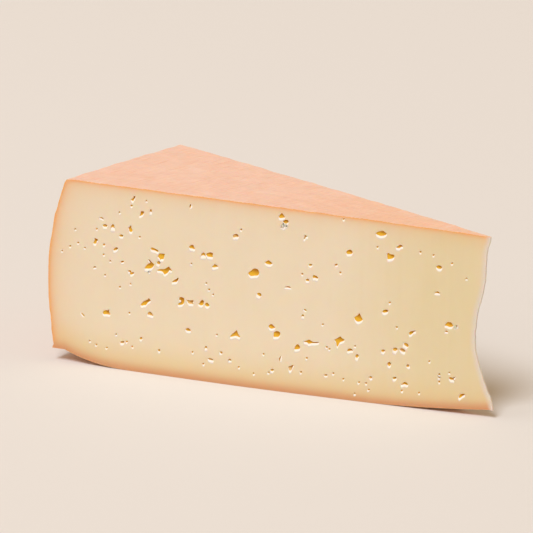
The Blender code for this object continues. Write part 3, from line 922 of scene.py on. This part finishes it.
# %% Paste
PASTE = (0.81, 0.71, 0.55, 1)
PASTE_RIPE = (0.80, 0.41, 0.16, 1)
PASTE_YELLOW = (0.76, 0.655, 0.42, 1)
PASTE_OLIVE = (0.755, 0.60, 0.34, 1)
PASTE_FOOT = (0.65, 0.33, 0.17, 1)
# Painted highlight: the near-white colour of the lips round the eyes
PASTE_LIP_HIGHLIGHT = (0.99, 0.94, 0.86, 1)
# Painted light: the paler, greyer colour of the paste at the thin tip, for light that shows through it
PASTE_TIP_GLOW = (0.73, 0.68, 0.63, 1)

tree, shader = start_finish("paste", 0.5, 0.6, 1.2 * MM)
x, y, z = object_places(tree)
s, t, w = parts_of(attribute(tree, "block", "Vector"))
from_top = (1.0 - w) * 61.0
from_base = w * 61.0
from_heel = (1.0 - s) * 160.0
from_tip = s * 160.0
clouds = noise(vector(tree, x * 0.06, y * 0.06, z * 0.06), 1.0, 3.0)
streaks = noise(vector(tree, x * 0.5, y * 0.5, z * 0.02), 1.0, 3.0)
yellow = step_up(from_tip * -1.0, -60.0, -12.0) * 0.9 + (clouds - 0.5) * 0.5 + (streaks - 0.5) * 0.35
colour = tint(PASTE, PASTE_YELLOW, yellow)
colour = tint(colour, PASTE_OLIVE, fade(from_base * from_base, 64.0))
colour = tint(colour, PASTE_RIPE, fade(from_heel, 1.2) * 0.75 + fade(from_heel, 4.5) * 0.45)
colour = tint(colour, PASTE_RIPE, fade(from_top, 0.7) * 0.7 + fade(from_top, 2.8) * 0.4)
colour = tint(colour, PASTE_FOOT, fade(from_base * from_base, 5.8))
# Painted light: the last couple of millimetres at the tip are painted paler and greyer, for light that shows through
# the thin tip
colour = tint(colour, PASTE_TIP_GLOW, step_up(from_tip * -1.0, -2.4, 0.0) * 0.9)
# Painted highlight: the paste on the lips round the eyes, widest below them, is painted near white and scatters less
# under the surface, for the light these lips catch
lip = clamp(attribute(tree, "depth") * 14.0)
colour = tint(colour, PASTE_LIP_HIGHLIGHT, lip)
feed(shader.inputs["Base Color"], colour)
feed(shader.inputs["Subsurface Weight"], mix(0.6, 0.1, lip))

# %% Amber walls of the eyes
# The amber of the eye walls stands in partly for light scattered and reflected inside the pits, painted light; the
# darker amber is painted shade, deeper in each pit and so towards its upper right
AMBER = (0.80, 0.47, 0.03, 1)
AMBER_SHADED = (0.58, 0.26, 0.01, 1)
AMBER_FAINT = (0.80, 0.56, 0.25, 1)

tree, shader = start_finish("amber", 0.4, 0.4, 0.8 * MM)
depth = attribute(tree, "depth")
clearness = attribute(tree, "clearness")
colour = tint(AMBER_FAINT, AMBER, step_up(clearness, 0.3, 0.9))
# Painted shade: the amber darkens with depth in the pit
feed(shader.inputs["Base Color"], tint(colour, AMBER_SHADED, step_up(depth, 0.35, 0.9) * 0.7))

# %% Brushed rind
RIND = (0.90, 0.60, 0.48, 1)
RIND_WARM = (0.90, 0.57, 0.41, 1)
RIND_GROOVE = (0.82, 0.44, 0.30, 1)
RIND_PALE = (0.95, 0.74, 0.63, 1)

tree, shader = start_finish("rind", 0.7, 0.3, 0.8 * MM)
x, y, z = object_places(tree)
ridge = attribute(tree, "ridge")
clouds = noise(vector(tree, x * 0.12, y * 0.12, z * 0.12), 1.0, 4.0, 0.6)
colour = tint(RIND, RIND_WARM, step_up(x, -10.0, 45.0))
colour = tint(colour, RIND_GROOVE, step_up(ridge * -1.0, 0.0, 1.0) * 0.6)
colour = tint(colour, RIND_PALE, step_up(ridge, 0.2, 1.2) * 0.5 + (clouds - 0.5) * 1.2)
feed(shader.inputs["Base Color"], colour)

# %% Smear on the heel and the base
SMEAR = (0.82, 0.42, 0.24, 1)
SMEAR_DARK = (0.55, 0.26, 0.15, 1)

tree, shader = start_finish("smear", 0.65, 0.3, 1.0 * MM)
x, y, z = object_places(tree)
clouds = noise(vector(tree, x * 0.15, y * 0.15, z * 0.15), 1.0, 4.0, 0.6)
feed(shader.inputs["Base Color"], tint(SMEAR, SMEAR_DARK, (clouds - 0.45) * 2.5))

# %% Crumbs
tree, shader = start_finish("crumb", 0.7, 0.4, 1.0 * MM)
shader.inputs["Base Color"].default_value = (0.93, 0.78, 0.62, 1)

# %% [markdown]
# ## Hand the pieces over
#
# Every piece rides on the cheese's one body, and the fine wedge stands for the plain solid of the model.

# %% Finish
SHARP_FROM = math.radians(40)
wedge.data.shade_smooth()
wedge.data.set_sharp_from_angle(angle=SHARP_FROM)
wedge.name = "wedge"
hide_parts(CAD_NODE)
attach(wedge, BODY)
